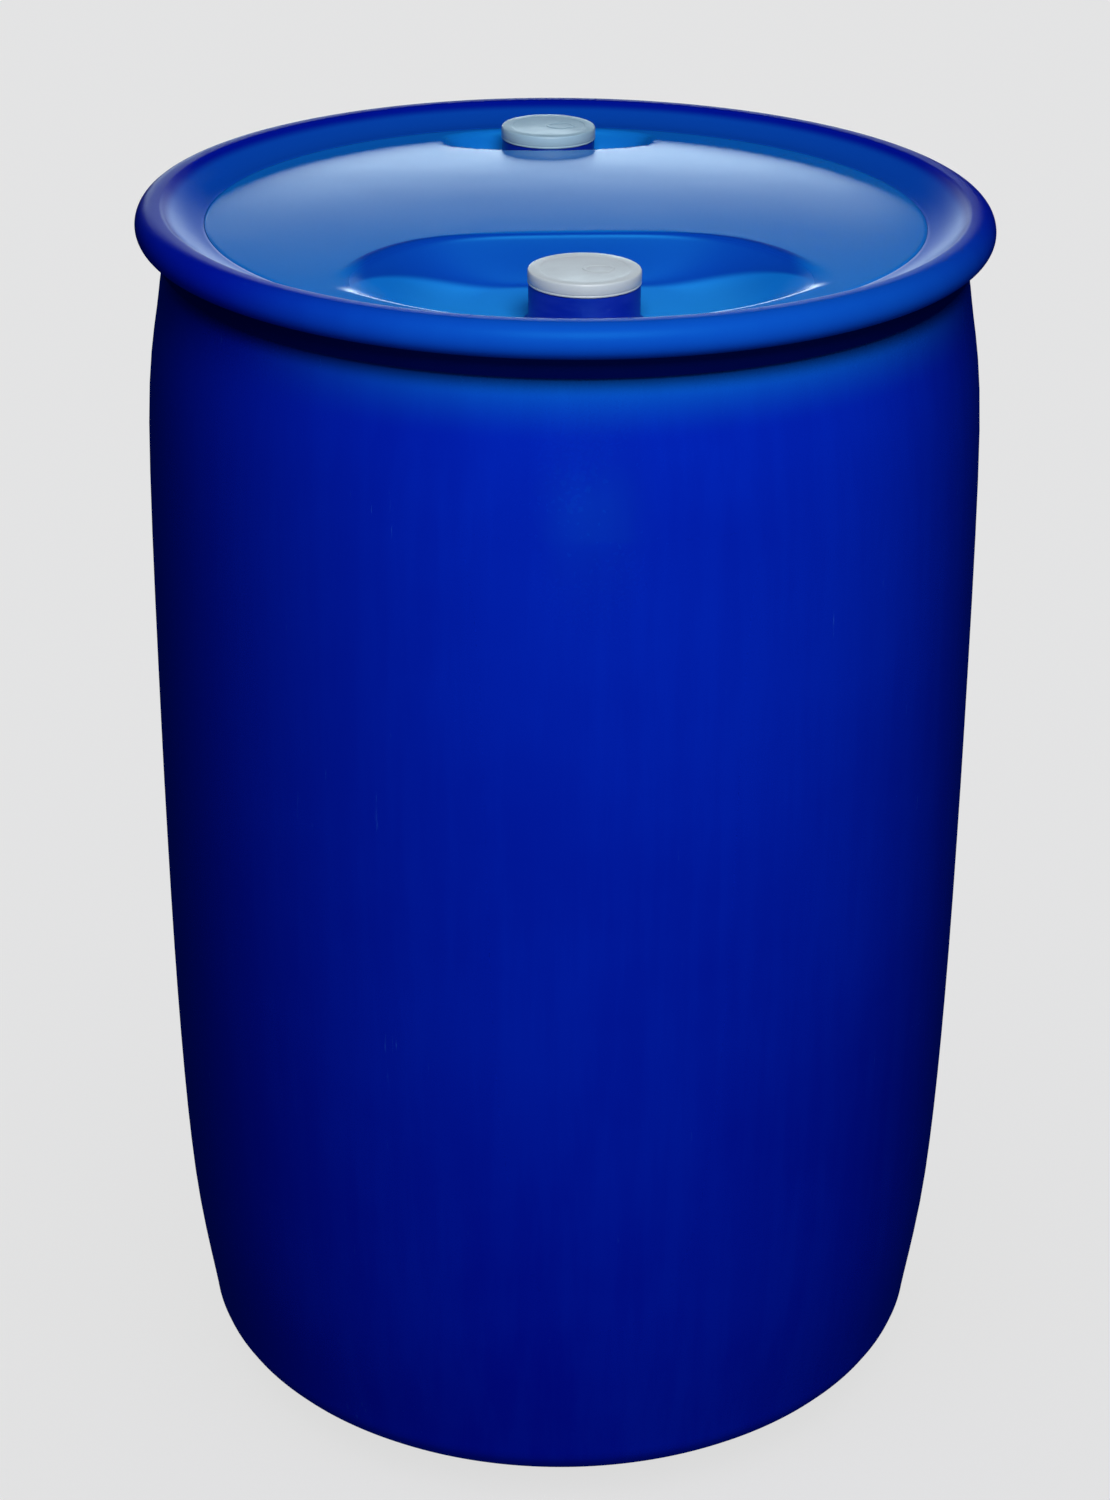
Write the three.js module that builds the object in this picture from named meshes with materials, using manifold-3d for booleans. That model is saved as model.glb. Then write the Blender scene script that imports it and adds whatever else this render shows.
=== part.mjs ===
// Plastic chemical drum: a blow-moulded tight-head drum with one carrying ring around its top.
// Two threaded necks stand in wells in the head. Each is closed by a plug on a gasket under a
// snap-on cap seal, and the front plug carries a smaller plug in its centre.
// Millimetres, +Z up, origin at the centre of the base.

import * as THREE from 'three';
import { mergeVertices } from 'three/addons/utils/BufferGeometryUtils.js';
import Module from 'manifold-3d';

const wasm = await Module();
wasm.setup();

// Driving dimensions
const drumHeight = 904;          // floor to the crest of the ring
const ringRadius = 296;          // outermost edge of the ring
const bulgeRadius = 297;         // widest part of the body
const wall = 3.4;                // shell thickness
const gap = 0.3;                 // between pieces that touch
const shellSegments = 56;
const closureSegments = 36;

// Base and side wall
const dishRise = 14;             // the middle of the base stands this far off the floor
const footInner = 160;
const footOuter = 190;
const cornerHeight = 43;
const cornerRadius = 278;        // body radius where the base corner ends
const turnInRadius = 282.5;      // body radius where the barrel turns in under the ring

// Head
const shoulderRadius = 277.5;
const shoulderRound = 14;
const seatDepth = 24;            // step that the ring sits in, below the crest
const plateauRadius = 249;
const plateauDepth = 13.5;       // edge of the plateau, below the crest
const crownRise = 7.5;           // the plateau's middle stands this far above its edge

// Carrying ring
const crestInner = 278.5;
const crestOuter = 283.5;
const lipDepth = 13;             // from the crest to the widest line of the ring
const lipInner = 285.5;          // where the rounded lip meets the flat under the ring
const slopeHollow = 1.9;         // the inner slope steepens towards the crest
const ringBottomDepth = 23.5;
const ringCollarDepth = 38;
const ringCollarRadius = 281;
const ringRootRun = 3;           // the flat under the ring runs into the collar over this slope
const ringRootDrop = 4;
const ringCollarTaper = 0.5;

// Wells. A well is a stack of rounded outlines that shrink from the plateau to the floor. At the
// plateau its inner edge curves through [0, backY] and [bendX, bendY], its ends are endX from the
// middle and its outer edge is rimRadius from the axis. A high bendPower keeps the middle straight.
// The runs are how far each edge has moved in at the floor. side is -1 towards -Y and 1 towards +Y.
const frontWell = {
  side: -1, floorDepth: 39, backY: 63.5, bendX: 145, bendY: 109, bendPower: 5, endX: 165,
  rimRadius: 240, backRun: 16.5, endRun: 95, rimRun: 16,
};
const rearWell = {
  side: 1, floorDepth: 33, backY: 163.5, bendX: 76, bendY: 180, bendPower: 2, endX: 80,
  rimRadius: 241, backRun: 3.5, endRun: 22, rimRun: 2.8,
};
const wellLevels = [0, 0.25, 0.5, 0.75, 1];
const wellPoints = 48;
const cornerPower = 0.5;         // 1 gives oval outlines, less gives squarer ones

// Closures. Every depth is measured down from the crest of the ring.
const frontBungY = -168;
const rearBungY = 203;
const capTopDepth = 1;
const capPlate = 1.5;
const capBottomDepth = 9.8;
const flangeTopDepth = 2.9;
const flangeBottomDepth = 5.6;
const gasketTopDepth = 5.9;
const gasketBottomDepth = 7.9;
const neckTopDepth = 8.2;
const collarTopDepth = 10.2;
const neckReach = 8;             // how far a neck reaches below its well's floor
const collarEdgeRun = 0.6;       // chamfer on a neck's collar
const collarEdgeDrop = 0.8;
const footTaper = 2;             // height over which a neck widens to its foot
const shankEndDepth = 27;
const wrenchFloorDepth = 14;
const webBottomDepth = 17.5;
const shankWall = 3.9;
const threadClearance = 0.4;     // between a shank and its bore
const holeLength = 60;           // of the cut that a neck passes through
const skirtThickness = 1.3;      // of a cap seal
const capRound = 1.2;            // rounded top edge of a cap seal, through one point on the way
const capRoundMidRun = 0.3;
const capRoundMidDrop = 0.4;
const lugWidth = 6;
const lugTopDepth = 7;
const rearLugLength = 8;
const overlap = 1;               // lugs run this far into the plug that carries them

const frontBung = {
  threadRadius: 29.5, boreRadius: 29.9, flangeRadius: 34.3, neckRadius: 34.4, collarRadius: 36.4,
  stemRadius: 33, footRadius: 40, footHeight: 3, capRadius: 36.9, floorDepth: frontWell.floorDepth,
};
const rearBung = {
  threadRadius: 27.7, boreRadius: 28.1, flangeRadius: 32.4, neckRadius: 32.5, collarRadius: 34.5,
  stemRadius: 31.5, footRadius: 34.6, footHeight: 2, capRadius: 35, floorDepth: rearWell.floorDepth,
};

// Centre plug and the boss that holds it
const innerThreadRadius = 12.9;
const innerFlangeRadius = 16.7;
const innerFlangeTop = 3.9;
const innerFlangeBottom = 7;
const innerGasketTop = 7.3;
const innerGasketBottom = 9.3;
const innerShoulderDepth = 9.6;
const innerShankEnd = 25;
const innerSocket = 13;          // across the flats of the square socket
const innerSocketDepth = 9;
const bossTopDepth = 3.6;
const bossRadius = 19.8;
const bossWall = 3;

const material = (color, roughness) => new THREE.MeshStandardMaterial({ color, roughness, metalness: 0 });
const drumBlue = 0x0420a0;
const closureBlue = 0x061a86;
const capCream = 0xd6d9d4;
const gasketBlack = 0x1c1c1e;

// Geometry to solid and back

function toSolid(source) {
  const geometry = source.clone();
  geometry.deleteAttribute('normal');
  geometry.deleteAttribute('uv');
  const welded = mergeVertices(geometry, 1e-4);
  const places = welded.attributes.position.array;
  const corners = [];
  let volume = 0;
  const [a, b, c] = [new THREE.Vector3(), new THREE.Vector3(), new THREE.Vector3()];
  for (let i = 0; i < welded.index.count; i += 3) {
    const triangle = [0, 1, 2].map((k) => welded.index.getX(i + k));
    if (new Set(triangle).size < 3) continue;
    corners.push(triangle);
    [a, b, c].forEach((corner, k) => corner.fromArray(places, triangle[k] * 3));
    volume += a.dot(b.cross(c));
  }
  const facingOut = volume < 0 ? corners.map((triangle) => triangle.reverse()) : corners;
  return new wasm.Manifold(new wasm.Mesh({
    numProp: 3,
    vertProperties: new Float32Array(places),
    triVerts: new Uint32Array(facingOut.flat()),
  }));
}

function toMesh(name, solid, look) {
  const { vertProperties, triVerts } = solid.getMesh();
  const geometry = new THREE.BufferGeometry();
  geometry.setAttribute('position', new THREE.BufferAttribute(new Float32Array(vertProperties), 3));
  geometry.setIndex(new THREE.BufferAttribute(new Uint32Array(triVerts), 1));
  geometry.computeVertexNormals();
  const mesh = new THREE.Mesh(geometry, look);
  mesh.name = name;
  return mesh;
}

// Turns an outline of [radius, height] points about Z.
function turned(points, segments) {
  const outline = points.map(([radius, height]) => new THREE.Vector2(radius, height));
  return new THREE.LatheGeometry(outline, segments).rotateX(Math.PI / 2);
}

// The same for a closed outline given as [radius, depth below the crest].
function turnedRing(points) {
  const closed = [...points, points[0]];
  return toSolid(turned(closed.map(([radius, depth]) => [radius, -depth]), closureSegments));
}

function turnedFromAxis(points) {
  return toSolid(turned(points.map(([radius, depth]) => [radius, -depth]), closureSegments));
}

// Points on a quarter ellipse, without its first point.
function quarter(centre, radii, fromDegrees, toDegrees, steps) {
  const points = [];
  for (let i = 1; i <= steps; i += 1) {
    const angle = THREE.MathUtils.degToRad(fromDegrees + ((toDegrees - fromDegrees) * i) / steps);
    points.push([centre[0] + radii[0] * Math.cos(angle), centre[1] + radii[1] * Math.sin(angle)]);
  }
  return points;
}

// Drum shell

function sideWall(inset, steps) {
  const belly = new THREE.SplineCurve([
    new THREE.Vector2(cornerRadius, cornerHeight),
    new THREE.Vector2(bulgeRadius - 6.5, 0.16 * drumHeight),
    new THREE.Vector2(bulgeRadius - 0.8, 0.33 * drumHeight),
    new THREE.Vector2(bulgeRadius, 0.58 * drumHeight),
    new THREE.Vector2(bulgeRadius - 3.5, 0.83 * drumHeight),
    new THREE.Vector2(turnInRadius, 0.93 * drumHeight),
    new THREE.Vector2(shoulderRadius, drumHeight - seatDepth - shoulderRound),
  ]);
  return belly.getPoints(steps).map(({ x, y }) => [x - inset, y]);
}

function plateauHeight(radius) {
  const edge = drumHeight - plateauDepth;
  return edge + crownRise * (1 - (radius / plateauRadius) ** 2);
}

function shellOutline(inset, steps) {
  const seat = drumHeight - seatDepth;
  const cornerRun = cornerRadius - footOuter;
  const dish = [0, 60, 120, footInner].map((radius) => [
    radius, inset + dishRise * Math.cos((radius / footInner) * (Math.PI / 2)) ** 2,
  ]);
  const corner = quarter(
    [footOuter, cornerHeight], [cornerRun - inset, cornerHeight - inset], -90, 0, 5,
  );
  const shoulder = quarter(
    [shoulderRadius - shoulderRound, seat - shoulderRound],
    [shoulderRound - inset, shoulderRound - inset], 0, 90, 3,
  );
  const edge = plateauRadius - inset;
  const plateau = [1, 0.88, 0.7, 0.5, 0.25, 0].map((share) => [
    share * edge, plateauHeight(share * edge) - inset,
  ]);
  return [
    ...dish, [footOuter, inset], ...corner, ...sideWall(inset, steps).slice(1), ...shoulder,
    [edge, seat - inset], ...plateau,
  ];
}

function wellOutline(well, share, inset) {
  const endX = well.endX - share * well.endRun + inset;
  const radius = well.rimRadius - share * well.rimRun + inset;
  const squared = (value) => Math.sign(value) * Math.abs(value) ** cornerPower;
  return Array.from({ length: wellPoints }, (_, i) => {
    const angle = (2 * Math.PI * i) / wellPoints;
    const x = endX * squared(Math.cos(angle));
    const bend = (well.bendY - well.backY) * Math.abs(x / well.bendX) ** well.bendPower;
    const back = well.backY + bend + share * well.backRun - inset;
    const rim = Math.sqrt(radius ** 2 - x ** 2);
    const y = (back + rim) / 2 + ((rim - back) / 2) * squared(Math.sin(angle));
    return [x, well.side * y];
  });
}

function wellSolid(well, inset) {
  const floor = drumHeight - well.floorDepth;
  const middleY = (well.side * (well.backY + well.rimRadius)) / 2;
  const stack = [wellOutline(well, 0, inset).map(([x, y]) => [x, y, drumHeight])];
  for (const share of wellLevels) {
    const sunk = share ** 2 * (3 - 2 * share);
    stack.push(wellOutline(well, share, inset).map(([x, y]) => {
      const plateau = plateauHeight(Math.hypot(x, y));
      return [x, y, plateau + sunk * (floor - plateau) - inset];
    }));
  }
  const places = [...stack.flat(), [0, middleY, drumHeight], [0, middleY, floor - inset]];
  const topCentre = places.length - 2;
  const floorCentre = places.length - 1;
  const lastLevel = (stack.length - 1) * wellPoints;
  const triangles = [];
  for (let i = 0; i < wellPoints; i += 1) {
    const next = (i + 1) % wellPoints;
    for (let level = 0; level < lastLevel; level += wellPoints) {
      const below = level + wellPoints;
      triangles.push(level + i, level + next, below + next);
      triangles.push(level + i, below + next, below + i);
    }
    triangles.push(topCentre, next, i);
    triangles.push(floorCentre, lastLevel + i, lastLevel + next);
  }
  const cutter = new THREE.BufferGeometry();
  cutter.setAttribute('position', new THREE.Float32BufferAttribute(places.flat(), 3));
  cutter.setIndex(triangles);
  return toSolid(cutter);
}

function neckHole(y, bung) {
  const radius = bung.stemRadius + gap;
  const hole = new THREE.CylinderGeometry(radius, radius, holeLength, closureSegments);
  hole.rotateX(Math.PI / 2);
  hole.translate(0, y, drumHeight - bung.floorDepth);
  return toSolid(hole);
}

function drumShell() {
  const wells = [frontWell, rearWell];
  let outside = toSolid(turned(shellOutline(0, 14), shellSegments));
  let inside = toSolid(turned(shellOutline(wall, 9), shellSegments));
  for (const well of wells) {
    outside = outside.subtract(wellSolid(well, 0));
    inside = inside.subtract(wellSolid(well, wall));
  }
  const shell = outside.subtract(inside)
    .subtract(neckHole(frontBungY, frontBung))
    .subtract(neckHole(rearBungY, rearBung));
  return toMesh('drum_shell', shell, material(drumBlue, 0.32));
}

// Carrying ring: its inner slope rises from the plateau's edge to the crest, and its lip overhangs
// the shoulder so that a drum lifter can grip under it.
function carryingRing() {
  const seat = drumHeight - seatDepth + gap;
  const toe = plateauRadius + 2 * gap;
  const widest = drumHeight - lipDepth;
  const bottom = drumHeight - ringBottomDepth;
  const slope = [0.25, 0.5, 0.75].map((share) => [
    toe + share * (crestInner - toe),
    drumHeight - plateauDepth + plateauDepth * share ** slopeHollow,
  ]);
  const outline = [
    [toe, seat],
    [toe, drumHeight - plateauDepth - gap],
    ...slope,
    [crestInner, drumHeight],
    [crestOuter, drumHeight],
    ...quarter([crestOuter, widest], [ringRadius - crestOuter, lipDepth], 90, 0, 5),
    ...quarter([lipInner, widest], [ringRadius - lipInner, widest - bottom], 0, -90, 4),
    [ringCollarRadius + ringRootRun, bottom],
    [ringCollarRadius, bottom - ringRootDrop],
    [ringCollarRadius - ringCollarTaper, drumHeight - ringCollarDepth],
    [shoulderRadius + 2 * gap, drumHeight - ringCollarDepth],
    ...quarter(
      [shoulderRadius - shoulderRound, drumHeight - seatDepth - shoulderRound],
      [shoulderRound + 2 * gap, shoulderRound + gap], 0, 90, 3,
    ),
  ];
  outline.push(outline[0]);
  return toMesh('l_ring', toSolid(turned(outline, shellSegments)), material(drumBlue, 0.32));
}

// Closures, each modelled on its own axis with z = 0 at the ring's crest

function neck(name, bung) {
  const solid = turnedRing([
    [bung.boreRadius, neckTopDepth],
    [bung.neckRadius, neckTopDepth],
    [bung.neckRadius, collarTopDepth],
    [bung.collarRadius - collarEdgeRun, collarTopDepth],
    [bung.collarRadius, collarTopDepth + collarEdgeDrop],
    [bung.collarRadius, bung.floorDepth - bung.footHeight - footTaper],
    [bung.footRadius, bung.floorDepth - bung.footHeight],
    [bung.footRadius, bung.floorDepth - gap],
    [bung.stemRadius, bung.floorDepth - gap],
    [bung.stemRadius, bung.floorDepth + neckReach],
    [bung.boreRadius, bung.floorDepth + neckReach],
  ]);
  return toMesh(name, solid, material(closureBlue, 0.4));
}

// Four lugs across the wrench groove, for a bung wrench to turn the plug by.
function withLugs(plug, innerRadius, outerRadius) {
  const lugLength = outerRadius - innerRadius + overlap;
  const lugHeight = wrenchFloorDepth - lugTopDepth + overlap;
  let solid = plug;
  for (let i = 0; i < 4; i += 1) {
    const lug = new THREE.BoxGeometry(lugLength, lugWidth, lugHeight);
    lug.translate((innerRadius + outerRadius) / 2, 0, -lugTopDepth - lugHeight / 2);
    lug.rotateZ((i * Math.PI) / 2);
    solid = solid.add(toSolid(lug));
  }
  return solid;
}

function largePlug() {
  const shankInner = frontBung.threadRadius - shankWall;
  const holeRadius = innerThreadRadius + threadClearance;
  const seatRadius = innerFlangeRadius + 2 * gap;
  const ring = turnedRing([
    [holeRadius, shankEndDepth],
    [holeRadius, innerShoulderDepth],
    [seatRadius, innerShoulderDepth],
    [seatRadius, bossTopDepth],
    [bossRadius, bossTopDepth],
    [bossRadius, wrenchFloorDepth],
    [shankInner, wrenchFloorDepth],
    [shankInner, flangeTopDepth],
    [frontBung.flangeRadius, flangeTopDepth],
    [frontBung.flangeRadius, flangeBottomDepth],
    [frontBung.threadRadius, flangeBottomDepth],
    [frontBung.threadRadius, shankEndDepth],
    [shankInner, shankEndDepth],
    [shankInner, webBottomDepth],
    [holeRadius + bossWall, webBottomDepth],
    [holeRadius + bossWall, shankEndDepth],
  ]);
  return toMesh('front_plug', withLugs(ring, bossRadius, shankInner), material(closureBlue, 0.45));
}

function plainPlug() {
  const shankInner = rearBung.threadRadius - shankWall;
  const cup = turnedFromAxis([
    [0, webBottomDepth],
    [shankInner, webBottomDepth],
    [shankInner, shankEndDepth],
    [rearBung.threadRadius, shankEndDepth],
    [rearBung.threadRadius, flangeBottomDepth],
    [rearBung.flangeRadius, flangeBottomDepth],
    [rearBung.flangeRadius, flangeTopDepth],
    [shankInner, flangeTopDepth],
    [shankInner, wrenchFloorDepth],
    [0, wrenchFloorDepth],
  ]);
  const plug = withLugs(cup, shankInner - rearLugLength, shankInner);
  return toMesh('rear_plug', plug, material(closureBlue, 0.45));
}

function centrePlug() {
  const body = turnedFromAxis([
    [0, innerShankEnd],
    [innerThreadRadius, innerShankEnd],
    [innerThreadRadius, innerFlangeBottom],
    [innerFlangeRadius, innerFlangeBottom],
    [innerFlangeRadius, innerFlangeTop],
    [0, innerFlangeTop],
  ]);
  const socket = new THREE.BoxGeometry(innerSocket, innerSocket, 2 * innerSocketDepth);
  socket.translate(0, 0, -innerFlangeTop);
  return toMesh('inner_plug', body.subtract(toSolid(socket)), material(closureBlue, 0.45));
}

// Fits around a shank and stays inside the flange that presses on it.
function gasket(name, shankRadius, outerRadius, top, bottom) {
  const innerRadius = shankRadius + threadClearance;
  const solid = turnedRing([
    [innerRadius, bottom], [innerRadius, top], [outerRadius, top], [outerRadius, bottom],
  ]);
  return toMesh(name, solid, material(gasketBlack, 0.7));
}

function largeGasket(name, bung) {
  const outerRadius = bung.flangeRadius - 2 * gap;
  return gasket(name, bung.threadRadius, outerRadius, gasketTopDepth, gasketBottomDepth);
}

function capSeal(name, bung) {
  const skirtInner = bung.capRadius - skirtThickness;
  const solid = turnedFromAxis([
    [0, capTopDepth],
    [bung.capRadius - capRound, capTopDepth],
    [bung.capRadius - capRoundMidRun, capTopDepth + capRoundMidDrop],
    [bung.capRadius, capTopDepth + capRound],
    [bung.capRadius, capBottomDepth],
    [skirtInner, capBottomDepth],
    [skirtInner, capTopDepth + capPlate],
    [0, capTopDepth + capPlate],
  ]);
  return toMesh(name, solid, material(capCream, 0.5));
}

const drum = new THREE.Group();
drum.add(drumShell(), carryingRing());

const frontClosure = new THREE.Group();
frontClosure.position.set(0, frontBungY, drumHeight);
frontClosure.add(
  neck('front_neck', frontBung),
  largeGasket('front_gasket', frontBung),
  largePlug(),
  gasket('inner_gasket', innerThreadRadius, innerFlangeRadius, innerGasketTop, innerGasketBottom),
  centrePlug(),
  capSeal('front_cap_seal', frontBung),
);

const rearClosure = new THREE.Group();
rearClosure.position.set(0, rearBungY, drumHeight);
rearClosure.add(
  neck('rear_neck', rearBung),
  largeGasket('rear_gasket', rearBung),
  plainPlug(),
  capSeal('rear_cap_seal', rearBung),
);

drum.add(frontClosure, rearClosure);

export default drum;
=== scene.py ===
import math

import bpy
from mathutils import Matrix, Vector


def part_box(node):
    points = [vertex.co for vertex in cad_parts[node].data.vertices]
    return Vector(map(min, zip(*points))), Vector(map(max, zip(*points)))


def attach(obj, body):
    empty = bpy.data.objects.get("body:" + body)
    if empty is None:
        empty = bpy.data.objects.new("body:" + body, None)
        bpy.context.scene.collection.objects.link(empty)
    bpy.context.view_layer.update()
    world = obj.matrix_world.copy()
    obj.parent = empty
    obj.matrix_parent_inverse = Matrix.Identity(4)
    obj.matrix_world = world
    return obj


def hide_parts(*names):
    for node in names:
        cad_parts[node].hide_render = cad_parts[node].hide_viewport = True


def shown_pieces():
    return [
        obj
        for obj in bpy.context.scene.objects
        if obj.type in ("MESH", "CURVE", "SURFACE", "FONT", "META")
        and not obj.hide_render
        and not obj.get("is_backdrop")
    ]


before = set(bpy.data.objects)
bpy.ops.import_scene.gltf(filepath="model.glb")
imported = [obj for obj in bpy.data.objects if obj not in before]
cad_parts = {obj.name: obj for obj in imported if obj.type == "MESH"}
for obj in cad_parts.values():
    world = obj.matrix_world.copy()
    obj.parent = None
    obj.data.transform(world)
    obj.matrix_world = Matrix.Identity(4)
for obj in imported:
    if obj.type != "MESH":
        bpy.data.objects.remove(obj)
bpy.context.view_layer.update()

mm = 0.001
weld = 0.002 * mm  # points closer than this are one
gap = 0.3 * mm  # between pieces that touch
bpy.ops.object.select_all(action="DESELECT")

# places that the frame gives
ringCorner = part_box("l_ring")[1]
crest = ringCorner.z
ringRadius = ringCorner.x
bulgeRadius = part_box("drum_shell")[1].x


def middleOf(node):
    low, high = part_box(node)
    return Vector(((low.x + high.x) / 2, (low.y + high.y) / 2, 0))


frontAxis = middleOf("front_neck")
rearAxis = middleOf("rear_neck")


# shapes that both the modelling and the colouring need
shellLook = {
    "wall": 3.4 * mm, "spin": 256, "dishRise": 14 * mm, "footInner": 160 * mm, "footOuter": 190 * mm,
    "cornerHeight": 43 * mm, "cornerRadius": 278 * mm, "turnInRadius": 282.5 * mm,
    "turnInHeight": 0.93, "shoulderRadius": 277.5 * mm, "shoulderRound": 14 * mm,
    "belly": [(6.7 * mm, 0.16), (mm, 0.33), (0.2 * mm, 0.58), (3.7 * mm, 0.83)],
    "seatDepth": 24 * mm, "plateauRadius": 249 * mm, "plateauDepth": 13.5 * mm, "crownRise": 7.5 * mm,
    "headStep": 2.6 * mm,
}
frontWell = {
    "side": -1, "floorDepth": 39 * mm, "backY": 63.5 * mm, "bendX": 145 * mm, "bendY": 109 * mm,
    "endX": 165 * mm, "rimRadius": 240 * mm, "bendPower": 5,
    "backRun": 16.5 * mm, "endRun": 95 * mm, "rimRun": 16 * mm,
    "hole": 33.3 * mm, "bung": frontAxis,
}
rearWell = {
    "side": 1, "floorDepth": 33 * mm, "backY": 163.5 * mm, "bendX": 76 * mm, "bendY": 180 * mm,
    "endX": 80 * mm, "rimRadius": 241 * mm, "bendPower": 2,
    "backRun": 3.5 * mm, "endRun": 22 * mm, "rimRun": 2.8 * mm,
    "hole": 31.8 * mm, "bung": rearAxis,
}


# camera, looking down on the head from a little above the ring
cameraLook = {
    "distance": 2.2237, "aboveRing": 15.2, "azimuth": -5.4, "aside": 0.0527, "tiltDown": 26.7,
    "roll": 0.956, "lens": 75.8, "shiftX": -0.0517, "shiftY": 0.0603,
}


def addCamera(look):
    bpy.ops.object.camera_add()
    camera = bpy.context.object
    camera.name = "camera"
    rise = math.radians(look["aboveRing"])
    away, above = look["distance"] * math.cos(rise), look["distance"] * math.sin(rise)
    place = Vector((look["aside"], -away, crest + above))
    turn = Matrix.Rotation(math.radians(look["azimuth"]), 4, "Z")
    tilt = Matrix.Rotation(math.radians(90 - look["tiltDown"]), 4, "X")
    roll = Matrix.Rotation(math.radians(look["roll"]), 4, "Z")
    camera.matrix_world = Matrix.Translation(turn @ place) @ turn @ tilt @ roll
    camera.data.sensor_width = 36
    camera.data.lens = look["lens"]
    camera.data.shift_x = look["shiftX"]
    camera.data.shift_y = look["shiftY"]
    camera.data.dof.use_dof = False
    bpy.context.scene.camera = camera


addCamera(cameraLook)
print("camera placed")


# materials

class Flow:  # a socket's value, which sums and products can be written with
    def __init__(self, tree, socket):
        self.tree = tree
        self.socket = socket

    def maths(self, operation, *values, clamp=False):
        node = self.tree.nodes.new("ShaderNodeMath")
        node.operation = operation
        node.use_clamp = clamp
        for place, value in enumerate(values):
            if isinstance(value, Flow):
                self.tree.links.new(value.socket, node.inputs[place])
            else:
                node.inputs[place].default_value = value
        return Flow(self.tree, node.outputs[0])

    def __add__(self, other):
        return self.maths("ADD", self, other)

    def __sub__(self, other):
        return self.maths("SUBTRACT", self, other)

    def __rsub__(self, other):
        return self.maths("SUBTRACT", other, self)

    def __mul__(self, other):
        return self.maths("MULTIPLY", self, other)

    def __truediv__(self, other):
        return self.maths("DIVIDE", self, other)

    def __pow__(self, other):
        return self.maths("POWER", self, other)

    __radd__ = __add__
    __rmul__ = __mul__

    def held(self):  # kept between 0 and 1
        return self.maths("ADD", self, 0.0, clamp=True)

    def size(self):
        return self.maths("ABSOLUTE", self)

    def over(self, low, high):  # 0 at low, 1 at high, smooth between
        node = self.tree.nodes.new("ShaderNodeMapRange")
        node.interpolation_type = "SMOOTHSTEP"
        self.tree.links.new(self.socket, node.inputs["Value"])
        node.inputs["From Min"].default_value = low
        node.inputs["From Max"].default_value = high
        return Flow(self.tree, node.outputs["Result"])


class Finish:  # one material, with its shader and the nodes that vary it
    def __init__(self, name, **fixed):
        self.material = bpy.data.materials.new(name)
        self.material.use_nodes = True
        self.tree = self.material.node_tree
        self.shader = self.tree.nodes["Principled BSDF"]
        for socket, value in fixed.items():
            self.shader.inputs[socket.replace("_", " ")].default_value = value

    def add(self, kind, settings=None, sockets=None, output=0):
        node = self.tree.nodes.new(kind)
        for setting, value in (settings or {}).items():
            setattr(node, setting, value)
        for socket, value in (sockets or {}).items():
            if isinstance(value, Flow):
                self.tree.links.new(value.socket, node.inputs[socket])
            else:
                node.inputs[socket].default_value = value
        return Flow(self.tree, node.outputs[output])

    def feed(self, socket, value):
        self.tree.links.new(value.socket, self.shader.inputs[socket])

    def place(self, stretch=(1, 1, 1)):
        coords = self.add("ShaderNodeTexCoord", output="Object")
        return self.add("ShaderNodeMapping", sockets={"Vector": coords, "Scale": stretch})

    def noise(self, where, scale, detail, rough):
        sockets = {"Vector": where, "Scale": scale, "Detail": detail, "Roughness": rough}
        return self.add("ShaderNodeTexNoise", sockets=sockets)

    def blend(self, share, first, second):
        settings = {"data_type": "RGBA"}
        sockets = {0: share, 6: first, 7: second}
        return self.add("ShaderNodeMix", settings, sockets, output=2)

    def relief(self, height, strength, distance, normal=None):
        sockets = {"Height": height, "Strength": strength, "Distance": distance}
        if normal is not None:
            sockets["Normal"] = normal
        return self.add("ShaderNodeBump", sockets=sockets)


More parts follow.
